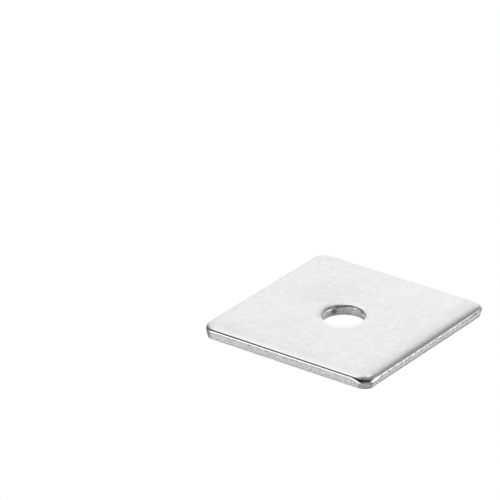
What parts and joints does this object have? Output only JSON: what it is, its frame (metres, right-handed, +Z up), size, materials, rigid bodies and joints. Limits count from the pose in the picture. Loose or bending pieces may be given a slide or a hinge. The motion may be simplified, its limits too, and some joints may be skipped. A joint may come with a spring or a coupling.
{
  "type": "square plate washer",
  "caption": "Flat square steel plate washer with rounded corners and a punched round hole, to spread a bolt's load over a wide area.",
  "frame": {"origin": "middle of the underside, on the axis of the hole", "axes": "+Z up through the hole towards the face with the rounded edges, X and Y along the plate's sides"},
  "size_m": [0.05, 0.05, 0.003],
  "materials": {
    "bright_steel": "bare bright steel: satin level faces, edges rolled over on the top, with a thin bright sheared line and a matt torn zone below"
  },
  "bodies": {
    "root": {"washer_plate": "bright_steel"}
  },
  "joints": []
}
